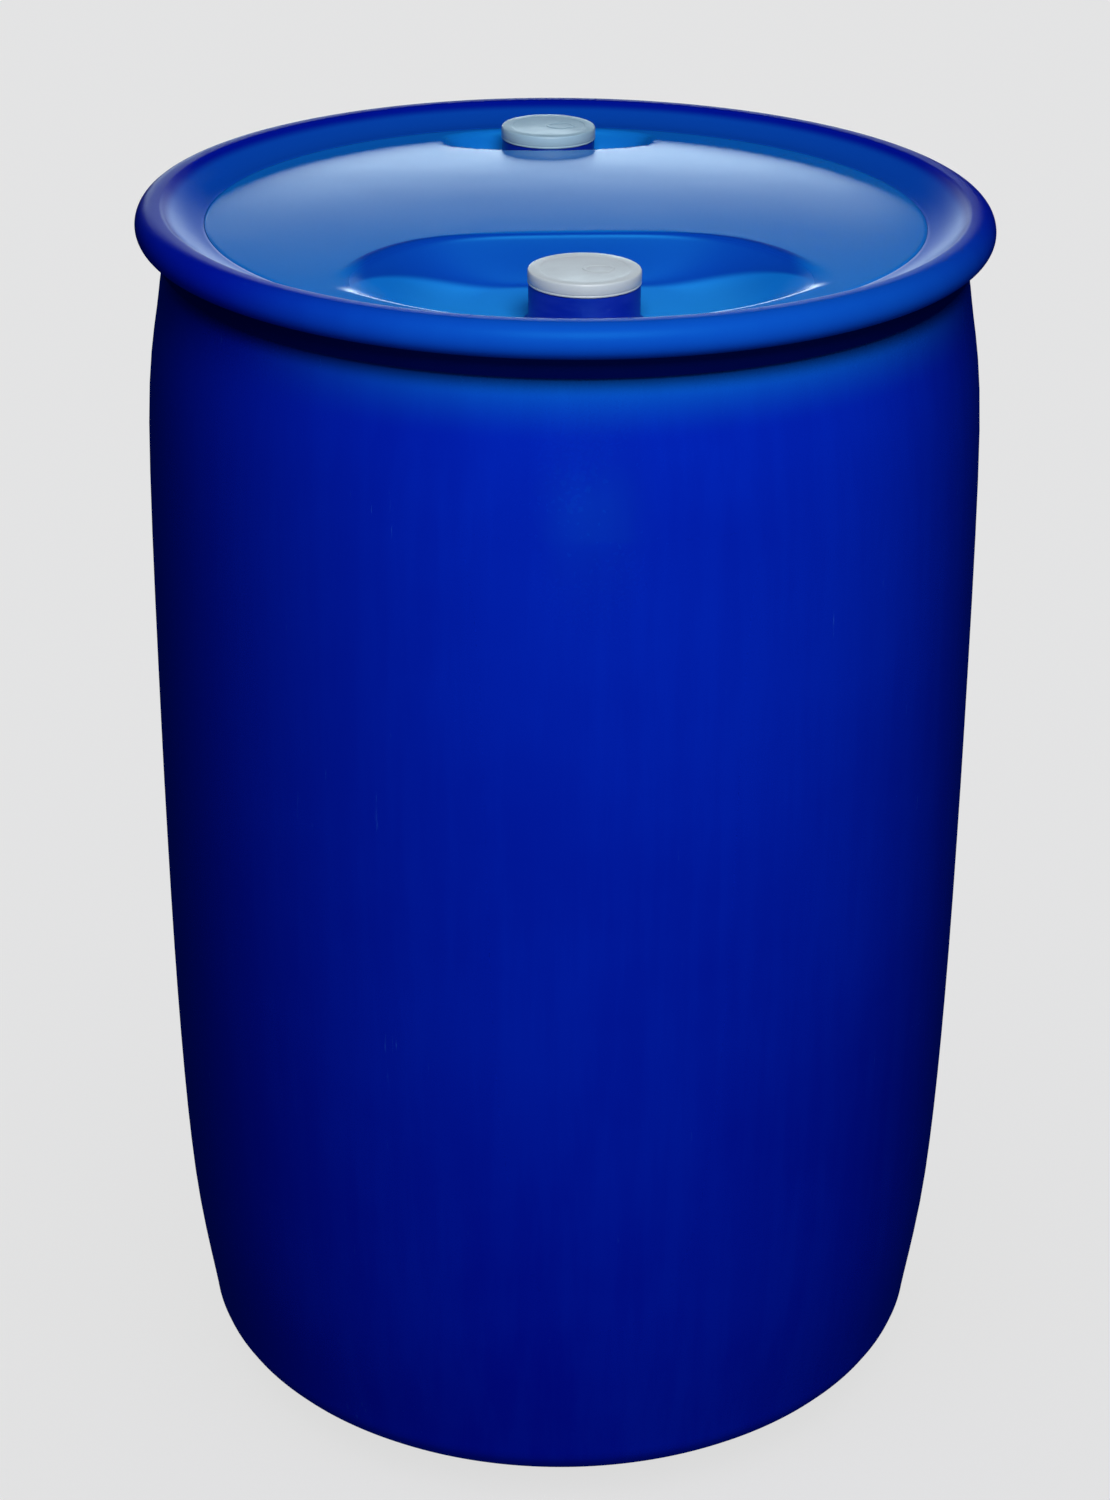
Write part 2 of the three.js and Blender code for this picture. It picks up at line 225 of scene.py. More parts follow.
# the body's blues run from a deep one in painted shade to a lit one, with a pale one for a painted highlight,
# lighter ones for painted light on the head and in the wells, and a near-black one for painted shade under
# the ring; the scuff colour is wear
drumPlasticLook = {
    "deep": (0.0002, 0.0035, 0.25, 1), "blue": (0.0006, 0.0155, 0.38, 1), "pale": (0.003, 0.135, 0.48, 1),
    "head": (0.004, 0.16, 0.58, 1), "paintedLitBasin": (0.012, 0.23, 0.68, 1), "scuff": (0.03, 0.12, 0.5, 1),
    "underRingShade": (0.0001, 0.0006, 0.03, 1), "ior": 1.51, "specular": 0.5, "specularTint": (0.03, 0.6, 1.0, 1),
    "clouds": (5, 4, 0.55), "cloudSpan": (0.3, 0.7), "cloudTone": 0.25,
    "streaks": (6, 4, 0.6), "streakStretch": (9, 9, 0.7), "streakSpan": (0.38, 0.64), "streakTone": 0.12,
    "paintedTopLightSpan": (0.05, 0.75), "paintedTopLight": 0.6, "frontLean": 0.25, "paintedFrontLightFacing": (0.2, 1.0), "paintedBackShade": 0.3,
    "paintedHighlightFacing": (0.35, 1.0), "paintedHighlightSpan": (0.825, 0.895), "paintedHighlightShare": 0.88, "paintedHighlightStreak": 0.2,
    "headSpan": (0.845, 0.86), "headEdge": (0.27, 0.276), "headShare": 0.9, "headCloud": 0.15,
    "steepTop": (-0.001, 0.0015), "steepFoot": (0.015, 0.024), "steepBow": 0.9, "steepEnds": (0.138, 0.158),
    "steepShade": 0.75, "basinSpan": (0.866, 0.886), "sunkSpan": (0.0005, 0.005),
    "underRingShadeLow": (0.853, 0.868), "underRingShadeHigh": (0.878, 0.887), "underRingShadeRadius": (0.262, 0.268),
    "underRingShadeShare": 0.9, "scratches": (5, 3, 0.7), "scratchStretch": (60, 60, 3), "scratchSpan": (0.66, 0.74),
    "rubbed": (14, 5, 0.65), "rubbedSpan": (0.56, 0.72), "wear": 0.4, "headClean": 0.85,
    "roughness": 0.27, "spread": 0.08, "headPolish": 0.06, "sunkMatte": 0.4, "wearMatte": 0.15,
    "grain": (260, 2, 0.5), "grainSpread": 0.03, "peel": (420, 2, 0.4), "peelRelief": (0.05, 0.00012),
    "waves": (22, 2, 0.4), "waveRelief": (0.07, 0.0015),
    "seamWidth": (0.0002, 0.0009), "seamTop": (0.84, 0.85), "seamHeight": 4,
}


def drumPlastic(name, look):
    finish = Finish(
        name, Specular_Tint=look["specularTint"], IOR=look["ior"], Specular_IOR_Level=look["specular"],
    )
    where = finish.place()
    parted = {"sockets": {"Vector": where}}
    axes = [finish.add("ShaderNodeSeparateXYZ", **parted, output=axis) for axis in range(3)]
    # the side that the front lamp falls on, used for the painted light below
    front = (axes[0] * look["frontLean"] - axes[1]) / bulgeRadius
    paintedHighlightArea = front.over(*look["paintedHighlightFacing"]) * axes[2].over(*look["paintedHighlightSpan"])
    radius = (axes[0] * axes[0] + axes[1] * axes[1]) ** 0.5
    head = axes[2].over(*look["headSpan"]) * (1 - radius.over(*look["headEdge"]))

    # the front well's back wall, found by how far in front of the well's inner edge it lies
    across = axes[0].size() / frontWell["bendX"]
    bend = across ** frontWell["bendPower"] * (frontWell["bendY"] - frontWell["backY"])
    past = -1 * axes[1] - bend - frontWell["backY"]
    foot = past - axes[0] * axes[0] * look["steepBow"]
    steep = past.over(*look["steepTop"]) * (1 - foot.over(*look["steepFoot"]))
    steep = steep * (1 - axes[0].size().over(*look["steepEnds"]))

    # random clouds and streaks in the blue, plus painted light: the body is painted lighter towards the top
    # and on the side facing the front lamp, and darker at the back
    clouds = finish.noise(where, *look["clouds"])
    streaks = finish.noise(finish.place(look["streakStretch"]), *look["streaks"])
    mottleAndPaintedLight = clouds.over(*look["cloudSpan"]) * look["cloudTone"]
    mottleAndPaintedLight = mottleAndPaintedLight + streaks.over(*look["streakSpan"]) * look["streakTone"]
    mottleAndPaintedLight = mottleAndPaintedLight + axes[2].over(*look["paintedTopLightSpan"]) * look["paintedTopLight"]
    paintedFrontLight = front.over(*look["paintedFrontLightFacing"]) * (1 - look["paintedBackShade"]) + look["paintedBackShade"]
    colour = finish.blend((mottleAndPaintedLight * paintedFrontLight).held(), look["deep"], look["blue"])
    # painted highlight: the front of the body just under the ring is painted in the pale lit blue where the
    # front lamp falls, broken up by the streaks
    paintedHighlight = (paintedHighlightArea * (1 - head)).held() * (look["paintedHighlightShare"] + streaks * look["paintedHighlightStreak"])
    colour = finish.blend(paintedHighlight, colour, look["pale"])

    # painted shade: a near-black band under the ring's overhang, on the shell's shoulder and on the ring's
    # underside
    underRingShade = axes[2].over(*look["underRingShadeLow"]) * (1 - axes[2].over(*look["underRingShadeHigh"]))
    underRingShade = underRingShade * radius.over(*look["underRingShadeRadius"])
    colour = finish.blend(underRingShade * look["underRingShadeShare"], colour, look["underRingShade"])
    # painted light: the head is painted a lighter, more cyan blue, as if lit from above, mottled by the
    # clouds; the front well's back wall gets less of it, so it is painted darker as if in shade
    paintedHeadLight = head * (1 - steep * look["steepShade"]) * (look["headShare"] + clouds * look["headCloud"])
    colour = finish.blend(paintedHeadLight, colour, look["head"])
    # painted light: the low floors of the wells are painted a still lighter blue, as if lit from above,
    # except the back wall
    paintedLitBasin = head * (1 - axes[2].over(*look["basinSpan"])) * (1 - steep)
    colour = finish.blend(paintedLitBasin, colour, look["paintedLitBasin"])

    scratched = finish.noise(finish.place(look["scratchStretch"]), *look["scratches"])
    rubbed = finish.noise(where, *look["rubbed"]).over(*look["rubbedSpan"])
    wear = (scratched.over(*look["scratchSpan"]) * rubbed * look["wear"]).held()
    wear = wear * (1 - head * look["headClean"])
    finish.feed("Base Color", finish.blend(wear, colour, look["scuff"]))

    # the wells are duller than the plateau around them
    crown = shellLook["crownRise"] * (1 - (radius / shellLook["plateauRadius"]) ** 2)
    sunk = head * (crown + crest - shellLook["plateauDepth"] - axes[2]).over(*look["sunkSpan"])
    grain = finish.noise(where, *look["grain"])
    shine = look["roughness"] - head * look["headPolish"] + sunk * look["sunkMatte"]
    shine = shine + (clouds - 0.5) * look["spread"] + (grain - 0.5) * look["grainSpread"]
    finish.feed("Roughness", (shine + wear * look["wearMatte"]).held())

    # moulded skin with a parting line down each side
    peel = finish.noise(where, *look["peel"])
    waves = finish.noise(where, *look["waves"])
    seam = (1 - axes[1].size().over(*look["seamWidth"])) * (1 - axes[2].over(*look["seamTop"]))
    skin = finish.relief(peel + seam * look["seamHeight"], *look["peelRelief"])
    finish.feed("Normal", finish.relief(waves, *look["waveRelief"], skin))
    return finish.material


closurePlasticLook = {
    "blue": (0.001, 0.011, 0.26, 1), "pale": (0.012, 0.035, 0.36, 1), "roughness": 0.38,
    "specularTint": (0.1, 0.5, 1.0, 1), "ior": 1.5, "flow": (30, 4, 0.6), "flowStretch": (1, 1, 4),
    "flowSpan": (0.3, 0.7), "flowShare": 0.35, "flowMatte": 0.12, "specks": (190, 3, 0.6),
    "speckSpan": (0.62, 0.75), "speckShare": 0.25, "speckMatte": 0.1,
    "grain": (900, 2, 0.5), "grainRelief": (0.2, 0.00006),
}


def closurePlastic(name, look):
    finish = Finish(name, Specular_Tint=look["specularTint"], IOR=look["ior"])
    where = finish.place()
    flow = finish.noise(finish.place(look["flowStretch"]), *look["flow"]).over(*look["flowSpan"])
    specks = finish.noise(where, *look["specks"]).over(*look["speckSpan"])
    share = flow * look["flowShare"] + specks * look["speckShare"]
    finish.feed("Base Color", finish.blend(share, look["blue"], look["pale"]))
    shine = look["roughness"] + (flow - 0.5) * look["flowMatte"] + specks * look["speckMatte"]
    finish.feed("Roughness", shine)
    finish.feed("Normal", finish.relief(finish.noise(where, *look["grain"]), *look["grainRelief"]))
    return finish.material


sealLook = {
    "cream": (0.49, 0.55, 0.56, 1), "grey": (0.38, 0.42, 0.44, 1), "roughness": 0.42, "ior": 1.5,
    "cloud": (38, 4, 0.6), "cloudSpan": (0.3, 0.75), "cloudShare": 0.35, "cloudMatte": 0.16,
    "dust": (260, 3, 0.6), "dustSpan": (0.58, 0.78), "dustShare": 0.2,
    "grain": (600, 2, 0.5), "grainRelief": (0.15, 0.00008),
}
rearSealLook = {**sealLook, "cream": (0.34, 0.51, 0.6, 1), "grey": (0.27, 0.42, 0.5, 1)}


def sealPlastic(name, look):
    finish = Finish(name, IOR=look["ior"])
    where = finish.place()
    cloud = finish.noise(where, *look["cloud"]).over(*look["cloudSpan"])
    dust = finish.noise(where, *look["dust"]).over(*look["dustSpan"])
    share = cloud * look["cloudShare"] + dust * look["dustShare"]
    finish.feed("Base Color", finish.blend(share, look["cream"], look["grey"]))
    finish.feed("Roughness", look["roughness"] + (cloud - 0.5) * look["cloudMatte"])
    finish.feed("Normal", finish.relief(finish.noise(where, *look["grain"]), *look["grainRelief"]))
    return finish.material


gasketLook = {
    "black": (0.012, 0.012, 0.013, 1), "grey": (0.04, 0.04, 0.042, 1), "roughness": 0.62, "ior": 1.5,
    "bloom": (90, 4, 0.6), "bloomSpan": (0.4, 0.7), "bloomShare": 0.7, "bloomMatte": 0.2,
    "grain": (1200, 2, 0.5), "grainRelief": (0.25, 0.00005),
}


def gasketRubber(name, look):
    finish = Finish(name, IOR=look["ior"])
    where = finish.place()
    bloom = finish.noise(where, *look["bloom"]).over(*look["bloomSpan"])
    finish.feed("Base Color", finish.blend(bloom * look["bloomShare"], look["black"], look["grey"]))
    finish.feed("Roughness", look["roughness"] + (bloom - 0.5) * look["bloomMatte"])
    finish.feed("Normal", finish.relief(finish.noise(where, *look["grain"]), *look["grainRelief"]))
    return finish.material


# the ring's painted highlight and head colours, darker than the shell's
ringPlasticLook = {
    **drumPlasticLook, "roughness": 0.4, "specular": 0.12, "head": (0.002, 0.06, 0.41, 1),
    "pale": (0.002, 0.06, 0.38, 1), "paintedHighlightSpan": (0.86, 0.9),
}
drumBlue = drumPlastic("drumBlue", drumPlasticLook)
ringBlue = drumPlastic("ringBlue", ringPlasticLook)
neckBlue = closurePlastic("neckBlue", closurePlasticLook)
plugBlue = closurePlastic("plugBlue", {**closurePlasticLook, "roughness": 0.45})
sealCream = sealPlastic("sealCream", sealLook)
rearSealCream = sealPlastic("rearSealCream", rearSealLook)
gasketBlack = gasketRubber("gasketBlack", gasketLook)
print("materials made")


# modelling tools

def smoothThrough(points, steps):  # a Catmull-Rom curve through the points, steps to each span
    curve = []
    last = len(points) - 1
    for span in range(last):
        p0, p1 = points[max(span - 1, 0)], points[span]
        p2, p3 = points[span + 1], points[min(span + 2, last)]
        for step in range(steps):
            t = step / steps
            curve.append(tuple(
                0.5 * (2 * b + (c - a) * t + (2 * a - 5 * b + 4 * c - d) * t * t
                       + (3 * b - a - 3 * c + d) * t ** 3)
                for a, b, c, d in zip(p0, p1, p2, p3)
            ))
    return curve + [tuple(points[-1])]


def arc(centre, radii, fromDegrees, toDegrees, steps):
    points = []
    for step in range(steps + 1):
        angle = math.radians(fromDegrees + (toDegrees - fromDegrees) * step / steps)
        points.append((centre[0] + radii[0] * math.cos(angle), centre[1] + radii[1] * math.sin(angle)))
    return points


def drawOutline(name, outline, closed):  # one vertex, extruded from point to point in the XZ plane
    bpy.ops.object.select_all(action="DESELECT")
    bpy.ops.mesh.primitive_plane_add(size=mm)
    piece = bpy.context.object
    piece.name = piece.data.name = name
    bpy.ops.object.mode_set(mode="EDIT")
    bpy.ops.mesh.select_mode(type="VERT")
    bpy.ops.mesh.select_all(action="SELECT")
    bpy.ops.mesh.merge(type="CENTER")
    bpy.ops.transform.translate(value=(outline[0][0], 0, outline[0][1]))
    points = outline + [outline[0]] if closed else outline
    for (fromX, fromZ), (toX, toZ) in zip(points, points[1:]):
        step = {"value": (toX - fromX, 0, toZ - fromZ)}
        bpy.ops.mesh.extrude_vertices_move(TRANSFORM_OT_translate=step)
    return piece


def spinPiece(name, outline, steps, closed=False, axis=Vector((0, 0, 0))):
    piece = drawOutline(name, outline, closed)
    bpy.ops.mesh.select_all(action="SELECT")
    bpy.ops.mesh.spin(steps=steps, angle=2 * math.pi, center=(0, 0, 0), axis=(0, 0, 1))
    bpy.ops.mesh.select_all(action="SELECT")
    bpy.ops.mesh.remove_doubles(threshold=weld)
    bpy.ops.mesh.normals_make_consistent(inside=False)
    bpy.ops.object.mode_set(mode="OBJECT")
    if axis.length > 0:
        piece.location = axis
        bpy.ops.object.transform_apply(location=True, rotation=False, scale=False)
    return piece


def useModifier(piece, kind, **settings):
    bpy.context.view_layer.objects.active = piece
    modifier = piece.modifiers.new(kind.lower(), kind)
    for setting, value in settings.items():
        setattr(modifier, setting, value)
    bpy.ops.object.modifier_apply(modifier=modifier.name)


def finishPiece(piece, node, body, material, angle=35):
    bpy.ops.object.select_all(action="DESELECT")
    piece.select_set(True)
    bpy.context.view_layer.objects.active = piece
    piece.data.materials.clear()
    piece.data.materials.append(material)
    bpy.ops.object.shade_smooth_by_angle(angle=math.radians(angle))
    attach(piece, body)
    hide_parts(node)


def bevelEdges(piece, width, segments=2, degrees=40):
    angle = math.radians(degrees)
    useModifier(piece, "BEVEL", width=width, segments=segments, limit_method="ANGLE", angle_limit=angle)


def joinPieces(main, others):
    bpy.ops.object.select_all(action="DESELECT")
    for other in others:
        other.select_set(True)
    main.select_set(True)
    bpy.context.view_layer.objects.active = main
    bpy.ops.object.join()
    return main


ridgeLook = {"root": 0.4 * mm, "steps": 72}


def threadRidge(name, thread, axis, start, inward):  # a helical ridge of even section, closed at both ends
    base, tip = thread["ridgeBase"], thread["ridgeTip"]
    root = thread["wall"] + (ridgeLook["root"] if inward else -ridgeLook["root"])
    section = [
        (root, start - base), (thread["wall"], start - base), (thread["crest"], start - tip),
        (thread["crest"], start + tip), (thread["wall"], start + base), (root, start + base),
    ]
    ridge = drawOutline(name, section, True)
    bpy.ops.mesh.select_all(action="SELECT")
    bpy.ops.mesh.remove_doubles(threshold=weld)
    bpy.ops.object.mode_set(mode="OBJECT")
    useModifier(ridge, "SCREW", angle=2 * math.pi, screw_offset=thread["pitch"],
                iterations=thread["turns"], steps=ridgeLook["steps"], render_steps=ridgeLook["steps"],
                use_smooth_shade=False)
    bpy.ops.object.mode_set(mode="EDIT")
    bpy.ops.mesh.select_all(action="SELECT")
    bpy.ops.mesh.fill_holes(sides=0)
    bpy.ops.mesh.select_all(action="SELECT")
    bpy.ops.mesh.normals_make_consistent(inside=False)
    bpy.ops.object.mode_set(mode="OBJECT")
    ridge.location = axis
    bpy.ops.object.transform_apply(location=True, rotation=False, scale=False)
    return ridge


# drum shell

def plateauHeight(look, radius):
    return crest - look["plateauDepth"] + look["crownRise"] * (1 - (radius / look["plateauRadius"]) ** 2)


def shellOutline(look):
    seat = crest - look["seatDepth"]
    outline = []
    for step in range(9):
        radius = look["footInner"] * step / 8
        turn = radius / look["footInner"] * math.pi / 2
        outline.append((radius, look["dishRise"] * math.cos(turn) ** 2))
    cornerRun = look["cornerRadius"] - look["footOuter"]
    corner = (look["footOuter"], look["cornerHeight"])
    outline += arc(corner, (cornerRun, look["cornerHeight"]), -90, 0, 14)[:-1]
    belly = [(look["cornerRadius"], look["cornerHeight"])]
    belly += [(bulgeRadius - fall, share * crest) for fall, share in look["belly"]]
    belly += [(look["turnInRadius"], look["turnInHeight"] * crest)]
    belly += [(look["shoulderRadius"], seat - look["shoulderRound"])]
    outline += [(min(radius, bulgeRadius), height) for radius, height in smoothThrough(belly, 5)[:-1]]
    centre = (look["shoulderRadius"] - look["shoulderRound"], seat - look["shoulderRound"])
    outline += arc(centre, (look["shoulderRound"], look["shoulderRound"]), 0, 90, 5)
    edge = look["plateauRadius"]
    outline += [(edge + 0.2 * mm, seat), (edge, seat + mm), (edge, plateauHeight(look, edge) - 0.4 * mm)]
    outline += [(edge - 0.3 * mm, plateauHeight(look, edge))]
    radius = edge - look["headStep"]
    while radius > look["headStep"]:
        outline.append((radius, plateauHeight(look, radius)))
        radius -= look["headStep"] if radius > 60 * mm else 3 * look["headStep"]
    return outline + [(0, plateauHeight(look, 0))]


def insideWell(well, x, y, share, grow=0):  # share is 0 for the edge on the plateau and 1 for the floor's
    endX = well["endX"] - share * well["endRun"] + grow
    radius = well["rimRadius"] - share * well["rimRun"] + grow
    if abs(x) >= endX:
        return False
    bend = (well["bendY"] - well["backY"]) * abs(x / well["bendX"]) ** well["bendPower"]
    back = well["backY"] + bend + share * well["backRun"] - grow
    rim = math.sqrt(radius ** 2 - x ** 2)
    across = (y * well["side"] - (back + rim) / 2) / ((rim - back) / 2)
    return (x / endX) ** 4 + across ** 4 < 1


sinkLook = {
    "around": 2 * mm, "floorKept": 6 * mm, "aboveSeat": 2 * mm, "rimKept": mm, "edgeKept": 0.1 * mm,
    "halvings": 12, "easing": 0.5, "easingPasses": 3,
}


def sunkShare(well, x, y):  # 0 on the plateau, 1 on the well's floor
    if not insideWell(well, x, y, 0):
        return 0
    low, high = 0, 1
    for halving in range(sinkLook["halvings"]):
        middle = (low + high) / 2
        if insideWell(well, x, y, middle):
            low = middle
        else:
            high = middle
    return low * low * (3 - 2 * low)


def sinkWell(piece, look, well):
    seat = crest - look["seatDepth"] + sinkLook["aboveSeat"]
    near = []
    for face in piece.data.polygons:
        x, y, z = face.center
        onHead = z > seat and math.hypot(x, y) < look["plateauRadius"] - sinkLook["rimKept"]
        near.append(onHead and insideWell(well, x, y, 0, sinkLook["around"])
                    and not insideWell(well, x, y, 1, -sinkLook["floorKept"]))
    bpy.ops.object.select_all(action="DESELECT")
    piece.select_set(True)
    bpy.context.view_layer.objects.active = piece
    bpy.ops.object.mode_set(mode="EDIT")
    bpy.ops.mesh.select_mode(type="FACE")
    bpy.ops.mesh.select_all(action="DESELECT")
    bpy.ops.object.mode_set(mode="OBJECT")
    piece.data.polygons.foreach_set("select", near)
    bpy.ops.object.mode_set(mode="EDIT")
    bpy.ops.mesh.subdivide(number_cuts=1)
    bpy.ops.mesh.select_all(action="DESELECT")
    bpy.ops.object.mode_set(mode="OBJECT")
    floor = crest - well["floorDepth"]
    for vertex in piece.data.vertices:
        x, y, z = vertex.co
        if z > seat and math.hypot(x, y) < look["plateauRadius"] - sinkLook["edgeKept"]:
            vertex.co.z += (floor - z) * sunkShare(well, x, y)
            vertex.select = insideWell(well, x, y, 0, sinkLook["around"])
    bpy.ops.object.mode_set(mode="EDIT")
    bpy.ops.mesh.select_mode(type="VERT")
    bpy.ops.mesh.vertices_smooth(
        factor=sinkLook["easing"], repeat=sinkLook["easingPasses"], xaxis=False, yaxis=False,
    )
    bpy.ops.mesh.select_all(action="DESELECT")
    bpy.ops.mesh.select_mode(type="FACE")
    bpy.ops.object.mode_set(mode="OBJECT")


def cutNeckHole(piece, well):
    centre, radius = well["bung"], well["hole"]
    for face in piece.data.polygons:
        x, y, z = face.center
        face.select = z > crest / 2 and math.hypot(x - centre.x, y - centre.y) < radius + mm
    bpy.ops.object.mode_set(mode="EDIT")
    bpy.ops.mesh.delete(type="FACE")
    bpy.ops.object.mode_set(mode="OBJECT")
    edgeUse = {}
    for face in piece.data.polygons:
        for edge in face.edge_keys:
            edgeUse[edge] = edgeUse.get(edge, 0) + 1
    rimVertices = {corner for edge, uses in edgeUse.items() if uses == 1 for corner in edge}
    for corner in rimVertices:
        place = piece.data.vertices[corner].co
        away = Vector((place.x - centre.x, place.y - centre.y, 0))
        if away.length < 2 * radius:
            place.xy = (centre + away.normalized() * radius).xy


def makeShell(look):
    shell = spinPiece("drumShell", shellOutline(look), look["spin"])
    for well in (frontWell, rearWell):
        sinkWell(shell, look, well)
        cutNeckHole(shell, well)
    useModifier(shell, "SOLIDIFY", thickness=look["wall"], offset=-1, use_even_offset=False)
    finishPiece(shell, "drum_shell", "drum", drumBlue, 50)
    print("drum shell:", len(shell.data.polygons), "faces")


makeShell(shellLook)


# carrying ring

ringLook = {
    "spin": 256, "toe": 249.25 * mm, "crestInner": 278.5 * mm, "crestOuter": 283.5 * mm,
    "crestEase": 0.6 * mm, "crestFall": 0.15 * mm, "crestEnd": mm, "lipDepth": 13 * mm,
    "lipInner": 285.5 * mm, "slopeSteps": 13, "hollow": 1.9, "bottomDepth": 23.5 * mm,
    "rootRun": 3 * mm, "rootDrop": 4 * mm, "collarDepth": 38 * mm, "collarRadius": 281 * mm,
    "collarTaper": 0.2 * mm, "collarEdge": 1.2 * mm, "seatRadius": 278.1 * mm,
    "seatClearance": 0.6 * mm,
}


def makeRing(look):
    toe, bottom = look["toe"], crest - look["bottomDepth"]
    seat = crest - shellLook["seatDepth"]
    plateauEdge = crest - shellLook["plateauDepth"]
    outline = [(toe, seat + gap), (toe, plateauEdge - gap), (toe + gap, plateauEdge)]
    for step in range(1, look["slopeSteps"]):
        share = step / look["slopeSteps"]
        rise = shellLook["plateauDepth"] * share ** look["hollow"]
        outline.append((toe + share * (look["crestInner"] - toe), plateauEdge + rise))
    ease = look["crestEase"]
    outline += [(look["crestInner"] - ease, crest - look["crestFall"]), (look["crestInner"] + ease, crest)]
    outline += [(look["crestOuter"] - look["crestEnd"], crest)]
    widest = crest - look["lipDepth"]
    lip = (ringRadius - look["crestOuter"], look["lipDepth"])
    outline += arc((look["crestOuter"], widest), lip, 90, 0, 14)
    under = (ringRadius - look["lipInner"], widest - bottom)
    outline += arc((look["lipInner"], widest), under, 0, -90, 10)[1:]
    root = (look["rootRun"], look["rootDrop"])
    outline += arc((look["collarRadius"] + root[0], bottom - root[1]), root, 90, 180, 5)
    collar, collarEnd, edge = look["collarRadius"], crest - look["collarDepth"], look["collarEdge"]
    outline += [(collar - look["collarTaper"], collarEnd + edge), (collar - edge, collarEnd)]
    outline += [(look["seatRadius"], collarEnd)]
    rounding, clearance = shellLook["shoulderRound"], look["seatClearance"]
    centre = (look["seatRadius"] - rounding - clearance, seat - rounding)
    outline += arc(centre, (rounding + clearance, rounding + gap), 0, 90, 6)
    ring = spinPiece("carryingRing", outline, look["spin"], closed=True)
    finishPiece(ring, "l_ring", "drum", ringBlue, 50)
    print("carrying ring:", len(ring.data.polygons), "faces")


makeRing(ringLook)


# closures: depths are below the ring's crest

closureLook = {
    "spin": 96, "capTop": 1 * mm, "capPlate": 1.5 * mm, "capBottom": 9.8 * mm, "flangeTop": 2.9 * mm,
    "flangeBottom": 5.6 * mm, "gasketTop": 5.9 * mm, "gasketBottom": 7.9 * mm, "neckTop": 8.2 * mm,
    "collarTop": 10.2 * mm, "neckReach": 8 * mm, "shankEnd": 27 * mm, "wrenchFloor": 14 * mm,
    "webBottom": 17.5 * mm, "lugTop": 7 * mm, "lugWidth": 6 * mm, "rearLugLength": 8 * mm,
    "lugBevel": 0.7 * mm, "footFlare": 3 * mm, "bossWall": 3 * mm, "threadLead": 1.6 * mm,
    "neckBevel": 0.5 * mm, "plugBevel": 0.45 * mm, "gasketBevel": 0.55 * mm, "gasketInset": 0.6 * mm,
}
sealShape = {
    "skirt": 1.3 * mm, "sink": 0.35 * mm, "rimOuter": 8 * mm, "rimInner": 7.4 * mm, "topRound": 1.4 * mm,
    "topRoundMid": 0.5 * mm, "sideStart": 1.3 * mm, "grooveTop": 1.6 * mm, "groove": 1.3 * mm,
    "grooveBottom": mm, "bevel": 0.18 * mm, "pullRadius": 7.5 * mm, "pullThickness": 1.1 * mm,
    "pullStretch": (1.25, 1, 0.4), "pullAside": 9 * mm, "pullSink": 0.45 * mm,
}
frontBung = {
    "prefix": "front", "axis": frontAxis, "bore": 29.9 * mm, "shank": 28.1 * mm, "flange": 34.3 * mm,
    "neck": 34.4 * mm, "collar": 36.4 * mm, "stem": 33 * mm, "foot": 40 * mm, "footHeight": 3 * mm,
    "cap": 36.9 * mm, "floor": frontWell["floorDepth"], "shankInner": 25.6 * mm,
    "maleCrest": 29.5 * mm, "femaleCrest": 28.5 * mm, "pitch": 2.309 * mm, "ridgeBase": 0.85 * mm,
    "ridgeTip": 0.14 * mm, "maleTurns": 6, "femaleTurns": 6,
}
rearBung = {
    "prefix": "rear", "axis": rearAxis, "bore": 28.1 * mm, "shank": 26 * mm, "flange": 32.4 * mm,
    "neck": 32.5 * mm, "collar": 34.5 * mm, "stem": 31.5 * mm, "foot": 34.6 * mm, "footHeight": 2 * mm,
    "cap": 35 * mm, "floor": rearWell["floorDepth"], "shankInner": 23.8 * mm,
    "maleCrest": 27.7 * mm, "femaleCrest": 26.4 * mm, "pitch": 4 * mm, "ridgeBase": 1.25 * mm,
    "ridgeTip": 0.5 * mm, "maleTurns": 3, "femaleTurns": 3,
}


def below(points):  # depths under the crest become heights
    return [(radius, crest - depth) for radius, depth in points]


def threadOf(bung, male):
    return {
        "wall": bung["shank"] if male else bung["bore"],
        "crest": bung["maleCrest"] if male else bung["femaleCrest"],
        "pitch": bung["pitch"], "ridgeBase": bung["ridgeBase"], "ridgeTip": bung["ridgeTip"],
        "turns": bung["maleTurns"] if male else bung["femaleTurns"],
    }


def makeNeck(bung, look):
    floor, collar, flare = bung["floor"], bung["collar"], look["footFlare"]
    footTop = floor - bung["footHeight"]
    outline = below([
        (bung["bore"], look["neckTop"]), (bung["neck"], look["neckTop"]), (bung["neck"], look["collarTop"]),
        (collar, look["collarTop"]), (collar, footTop - flare),
    ])
    outline += below([
        (collar + (bung["foot"] - collar) * share, footTop - flare * (1 - share) ** 2)
        for share in (0.15, 0.35, 0.65, 1)
    ])
    outline += below([
        (bung["foot"], floor - gap), (bung["stem"], floor - gap),
        (bung["stem"], floor + look["neckReach"]), (bung["bore"], floor + look["neckReach"]),
    ])
    neck = spinPiece(bung["prefix"] + "Neck", outline, look["spin"], closed=True, axis=bung["axis"])
    bevelEdges(neck, look["neckBevel"])
    threadTop = crest - look["neckTop"] - look["threadLead"]
    start = threadTop - (bung["femaleTurns"] + 0.5) * bung["pitch"]
    ridge = threadRidge(bung["prefix"] + "Ridge", threadOf(bung, False), bung["axis"], start, True)
    joinPieces(neck, [ridge])
    finishPiece(neck, bung["prefix"] + "_neck", "drum", neckBlue)


